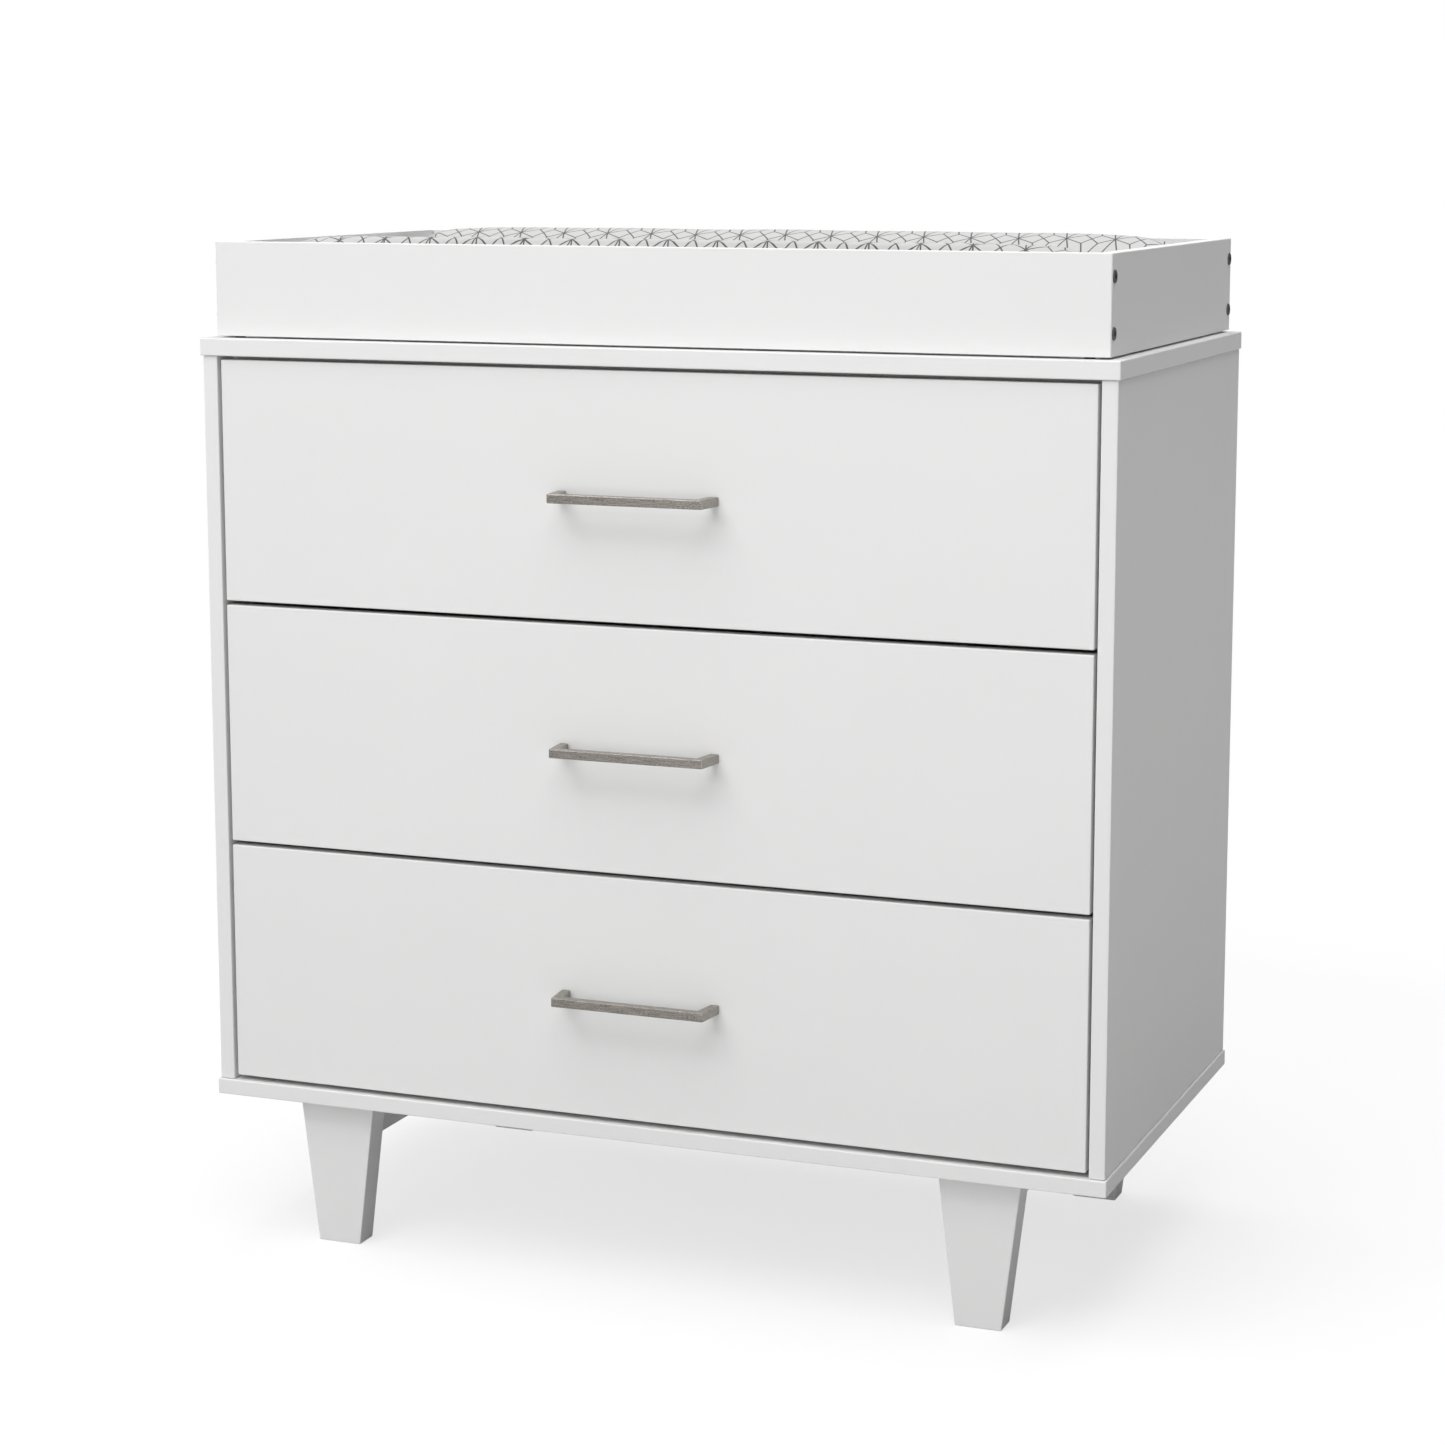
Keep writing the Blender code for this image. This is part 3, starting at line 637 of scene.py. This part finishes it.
class PadSettings(bpy.types.PropertyGroup):
    """Shape, filling and printed cover of the pad."""

    valley: length("Valley", "Thickness along the middle", 0.0480, 0.01, 0.09)
    crest: length("Crest", "From a long side to the highest line", 0.0400, 0.01, 0.1)
    level: length("Level strip", "Half the width of the level strip", 0.0400, 0.01, 0.1)
    corner: length("Corner", "How far the rounded top edge drops", 0.0300, 0.005, 0.06)
    end_radius: length("End rounding", "Radius of the edges round each end", 0.0100, 0.002, 0.03)
    inset: length("Start inset", "How much smaller the cover starts", 0.0025, 0.0, 0.01)
    wave: length("Wave", "Height of the slow waves along the crests", 0.0003, 0.0, 0.005)
    voxel: length("Mesh size", "Side of a face of the simulated cover", 0.0065, 0.004, 0.02)
    pressure: strength("Pressure", "Pressure of the filling", 4.0)
    frames: bpy.props.IntProperty(
        name="Steps", description="Steps of the simulation", default=20, min=1, max=60
    )
    swell_cap: length("Most swell", "How far a point may move", 0.0035, 0.0, 0.02)
    ground_colour: colour("Ground colour", "Colour of the cotton", (0.49, 0.49, 0.485))
    line_colour: colour("Line colour", "Colour of the printed lines", (0.015, 0.015, 0.015))
    star_space: length("Star spacing", "From star to star of the print", 0.0485, 0.01, 0.1)
    row_space: length("Row spacing", "From one row of stars to the next", 0.0405, 0.01, 0.1)
    line_width: length("Line width", "Width of a line of the print", 0.0014, 0.0002, 0.005)
    print_start: length("Print start", "Where along the pad a star stands", 0.0050, -0.1, 0.1)
    print_shift: length("Print shift", "How far across the pad a star row lies", 0.1460, -0.2, 0.2)
    thread: length("Thread spacing", "From thread to thread of the weave", 0.0007, 0.0002, 0.003)


class StudioSettings(bpy.types.PropertyGroup):
    """Floor, light and camera."""

    floor_colour: colour("Floor colour", "Colour of the floor", (0.97, 0.97, 0.97))
    bounce_colour: colour("Bounce", "Colour of the light the floor gives back", (0.46, 0.46, 0.46))
    key: strength("Key light", "Power of the light high at the front left, in watts", 83.0)
    front: strength("Front light", "Power of the low light in front, in watts", 35.0)
    left: strength("Left light", "Power of the light at the left, in watts", 48.0)
    top: strength("Top light", "Power of the wide light overhead, in watts", 160.0)
    rear: strength("Rear light", "Power of the light above the rear, in watts", 62.0)
    right: strength("Right light", "Power of the light at the right, in watts", 12.5)
    glow: factor("Far floor", "Brightness of the floor far from the object", 0.6)
    lift: factor("Shadow lift", "How far the floor's shadows fade into white", 0.70)
    room: strength("Room light", "Brightness of the room as the object sees it", 0.02)
    lens: scalar("Lens", "Focal length", 82.05, min=10, max=300, unit="CAMERA")
    shift: numbers("Lens shift", "How far the lens is shifted, in sensor widths", (-0.0143, -0.05))
    turn: angle("Camera turn", "How far the camera is turned to the left", 0.3718)
    tilt: angle("Camera tilt", "How far the camera looks down", 0.1552)
    stand: numbers(
        "Camera place", "Where the camera stands", (1.1712, -2.9511, 1.0750), subtype="TRANSLATION"
    )


class TableSettings(bpy.types.PropertyGroup):
    """Every group of settings."""

    boards: bpy.props.PointerProperty(type=BoardSettings)
    metal: bpy.props.PointerProperty(type=MetalSettings)
    pad: bpy.props.PointerProperty(type=PadSettings)
    studio: bpy.props.PointerProperty(type=StudioSettings)


def settings_of(context):
    return context.scene.changing_table


def dress(names, material):
    """Puts a material in every slot of these CAD nodes."""
    for name in names:
        for slot in NODES[name].material_slots:
            slot.link = "OBJECT"
            slot.material = material


def nodes_with(slot):
    """The CAD nodes that take this material slot of the record."""
    found = [name for name, its_slot in SLOT_OF.items() if its_slot == slot]
    if not found:
        raise RuntimeError(f"no CAD node takes the slot {slot}")
    return found


# ---------------------------------------------------------------- operators


class FinishBoards(bpy.types.Operator):
    """Paints the cabinet, the drawer fronts, the legs and the tray"""

    bl_idname = "changing_table.finish_boards"
    bl_label = "Paint Boards"

    def execute(self, context):
        settings = settings_of(context).boards
        dress(nodes_with("white_paint"), lacquer(settings))
        dress(nodes_with("white_hardboard"), hardboard(settings))
        dress(nodes_with("drawer_white"), drawer_laminate(settings))
        return {"FINISHED"}


class FinishMetal(bpy.types.Operator):
    """Gives the handles, slides, bolts and glides their metal and rubber"""

    bl_idname = "changing_table.finish_metal"
    bl_label = "Finish Metal"

    def execute(self, context):
        settings = settings_of(context).metal
        dress(nodes_with("brushed_nickel"), brushed_nickel(settings))
        dress(nodes_with("zinc_steel"), zinc("zinc_slides", settings))
        dress(nodes_with("dark_steel"), dark_steel(settings))
        dress(nodes_with("dark_rubber"), rubber(settings))
        return {"FINISHED"}


def handle_screws(drawer, radius):
    """The heads of a handle's two screws, on the back of the drawer's front."""
    low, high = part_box(f"handle_{drawer}")
    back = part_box(f"drawer_front_{drawer}")[1].y
    level = (low.z + high.z) / 2
    reach = high.x - HANDLE_SCREW_IN
    return [
        screw_head((side * reach, back, level), (0, 1, 0), radius, *HANDLE_SCREW)
        for side in SIDES.values()
    ]


def slide_screws(drawer, radius):
    """The heads of the screws that hold the drawer's slide members, on the outside of each."""
    heads = []
    for word, side in SIDES.items():
        low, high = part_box(f"drawer_slide_{drawer}_{word}")
        web = (high.x if side < 0 else low.x) + side * SLIDE_STEEL
        level = (low.z + high.z) / 2
        for share in SLIDE_SCREWS_ALONG:
            place = (web, low.y + (high.y - low.y) * share, level)
            heads.append(screw_head(place, (side, 0, 0), radius, *SLIDE_SCREW))
    return heads


class MakeScrews(bpy.types.Operator):
    """Makes the screws of the handles and of the slides on each drawer"""

    bl_idname = "changing_table.make_screws"
    bl_label = "Make Screws"

    def execute(self, context):
        settings = settings_of(context).metal
        material = zinc("zinc_screws", settings)
        for drawer in DRAWERS:
            heads = handle_screws(drawer, settings.screw_radius)
            heads += slide_screws(drawer, settings.screw_radius * SLIDE_SCREW_SHARE)
            piece(f"drawer_screws_{drawer}", heads, material, f"drawer_{drawer}")
        return {"FINISHED"}


class MakeNails(bpy.types.Operator):
    """Makes the nails along the top and the two sides of the back panel"""

    bl_idname = "changing_table.make_nails"
    bl_label = "Make Nails"

    def execute(self, context):
        settings = settings_of(context).metal
        material = zinc("zinc_nails", settings)
        low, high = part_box("back_panel")
        across = np.linspace(low.x + NAIL_MARGIN, high.x - NAIL_MARGIN, NAILS_ACROSS)
        up = np.linspace(low.z + NAIL_MARGIN, high.z - NAIL_MARGIN, NAILS_UP)
        spots = [(x, high.y, up[-1]) for x in across]
        spots += [(x, high.y, z) for x in (across[0], across[-1]) for z in up[1:-1]]
        heads = [nail_head(spot, NAIL_RADIUS, NAIL_HEIGHT) for spot in spots]
        piece("back_nails", heads, material, "cabinet")
        return {"FINISHED"}


class MakePad(bpy.types.Operator):
    """Makes the padded pad in its printed cover"""

    bl_idname = "changing_table.make_pad"
    bl_label = "Make Pad"

    def execute(self, context):
        settings = settings_of(context).pad
        make_pad(settings, printed_cotton(settings))
        return {"FINISHED"}


def floor_material(settings):
    """A matt floor that runs out into plain white light far from the object."""
    finish = Finish("studio_floor", {"Roughness": 0.9, "Specular IOR Level": 0.1})
    point = finish.node("ShaderNodeTexCoord", output="Object")
    away = finish.vector("LENGTH", point, output="Value")
    grain = finish.noise(point, 60.0)
    seen = finish.node("ShaderNodeLightPath", output="Is Camera Ray")
    tone = finish.mix(grain, tint(settings.floor_colour, -0.004), tint(settings.floor_colour, 0.004))
    finish.done(Base_Color=finish.mix(seen, settings.bounce_colour, tone))
    shader = Term(finish, finish.shader.outputs["BSDF"])
    glow = settings.glow + seen * (1 - settings.glow)
    light = finish.node("ShaderNodeEmission", None, {"Color": (1, 1, 1), "Strength": glow})
    share = away.ramp(*FLOOR_FADE).most(seen * settings.lift)
    mixed = finish.node("ShaderNodeMixShader", None, {0: share, 1: shader, 2: light})
    finish.fill(finish.tree.nodes["Material Output"], {"Surface": mixed})
    return finish.material


def area_light(name, power, size, place, aim):
    data = bpy.data.lights.new(name, "AREA")
    data.shape = "RECTANGLE"
    data.size, data.size_y = size
    data.energy = power
    lamp = bpy.data.objects.new(name, data)
    lamp.location = place
    lamp.rotation_euler = (Vector(aim) - Vector(place)).to_track_quat("-Z", "Y").to_euler()
    bpy.context.scene.collection.objects.link(lamp)


def room_light(brightness):
    """White behind the object, and a dimmer even light on it."""
    world = bpy.data.worlds.new("studio")
    world.use_nodes = True
    nodes, links = world.node_tree.nodes, world.node_tree.links
    seen = nodes["Background"]
    seen.inputs["Color"].default_value = (1, 1, 1, 1)
    lit = nodes.new("ShaderNodeBackground")
    lit.inputs["Color"].default_value = (1, 1, 1, 1)
    lit.inputs["Strength"].default_value = brightness
    ray = nodes.new("ShaderNodeLightPath")
    mixed = nodes.new("ShaderNodeMixShader")
    links.new(ray.outputs["Is Camera Ray"], mixed.inputs[0])
    links.new(lit.outputs[0], mixed.inputs[1])
    links.new(seen.outputs[0], mixed.inputs[2])
    links.new(mixed.outputs[0], nodes["World Output"].inputs["Surface"])
    bpy.context.scene.world = world


def make_floor(settings):
    """A round floor about the object: rings of points at growing distances from its middle."""
    around = np.linspace(0, math.tau, FLOOR_STEPS, endpoint=False)
    reach, turn = np.meshgrid(FLOOR_RINGS, around, indexing="ij")
    disc = np.stack([reach * np.cos(turn), reach * np.sin(turn), 0 * reach], -1)
    parts = [(disc, tube_faces(*reach.shape))]
    piece("studio_floor", parts, floor_material(settings))


def set_camera(settings):
    data = bpy.data.cameras.new("camera")
    data.lens = settings.lens
    data.sensor_width = 36.0
    data.shift_x, data.shift_y = settings.shift
    data.clip_end = 50.0
    camera = bpy.data.objects.new("camera", data)
    camera.location = settings.stand
    camera.rotation_euler = Euler((math.pi / 2 - settings.tilt, 0, settings.turn))
    bpy.context.scene.collection.objects.link(camera)
    bpy.context.scene.camera = camera


class SetStudio(bpy.types.Operator):
    """Makes the floor, the lights and the camera"""

    bl_idname = "changing_table.set_studio"
    bl_label = "Set Studio"

    def execute(self, context):
        settings = settings_of(context).studio
        make_floor(settings)
        for name, (size, place, aim) in LIGHTS.items():
            area_light(f"{name}_light", getattr(settings, name), size, place, aim)
        room_light(settings.room)
        set_camera(settings)
        context.scene.view_settings.view_transform = "Standard"
        return {"FINISHED"}


class TablePanel(bpy.types.Panel):
    """Lists the steps that dress the table"""

    bl_idname = "VIEW3D_PT_changing_table"
    bl_label = "Changing Table"
    bl_space_type = "VIEW_3D"
    bl_region_type = "UI"
    bl_category = "Changing Table"

    def draw(self, context):
        settings = settings_of(context)
        for group in ("boards", "metal", "pad", "studio"):
            box = self.layout.box()
            owner = getattr(settings, group)
            for name in owner.bl_rna.properties.keys():
                if name not in ("name", "rna_type"):
                    box.prop(owner, name)
        for step in STEPS:
            self.layout.operator(step.bl_idname)


STEPS = (FinishBoards, FinishMetal, MakeScrews, MakeNails, MakePad, SetStudio)
GROUPS = (BoardSettings, MetalSettings, PadSettings, StudioSettings, TableSettings)
CLASSES = (*GROUPS, *STEPS, TablePanel)


def register():
    for made in CLASSES:
        bpy.utils.register_class(made)
    bpy.types.Scene.changing_table = bpy.props.PointerProperty(type=TableSettings)


def unregister():
    del bpy.types.Scene.changing_table
    for made in reversed(CLASSES):
        bpy.utils.unregister_class(made)


def main():
    register()
    for step in STEPS:
        group, name = step.bl_idname.split(".")
        getattr(getattr(bpy.ops, group), name)()


if __name__ == "__main__":
    main()
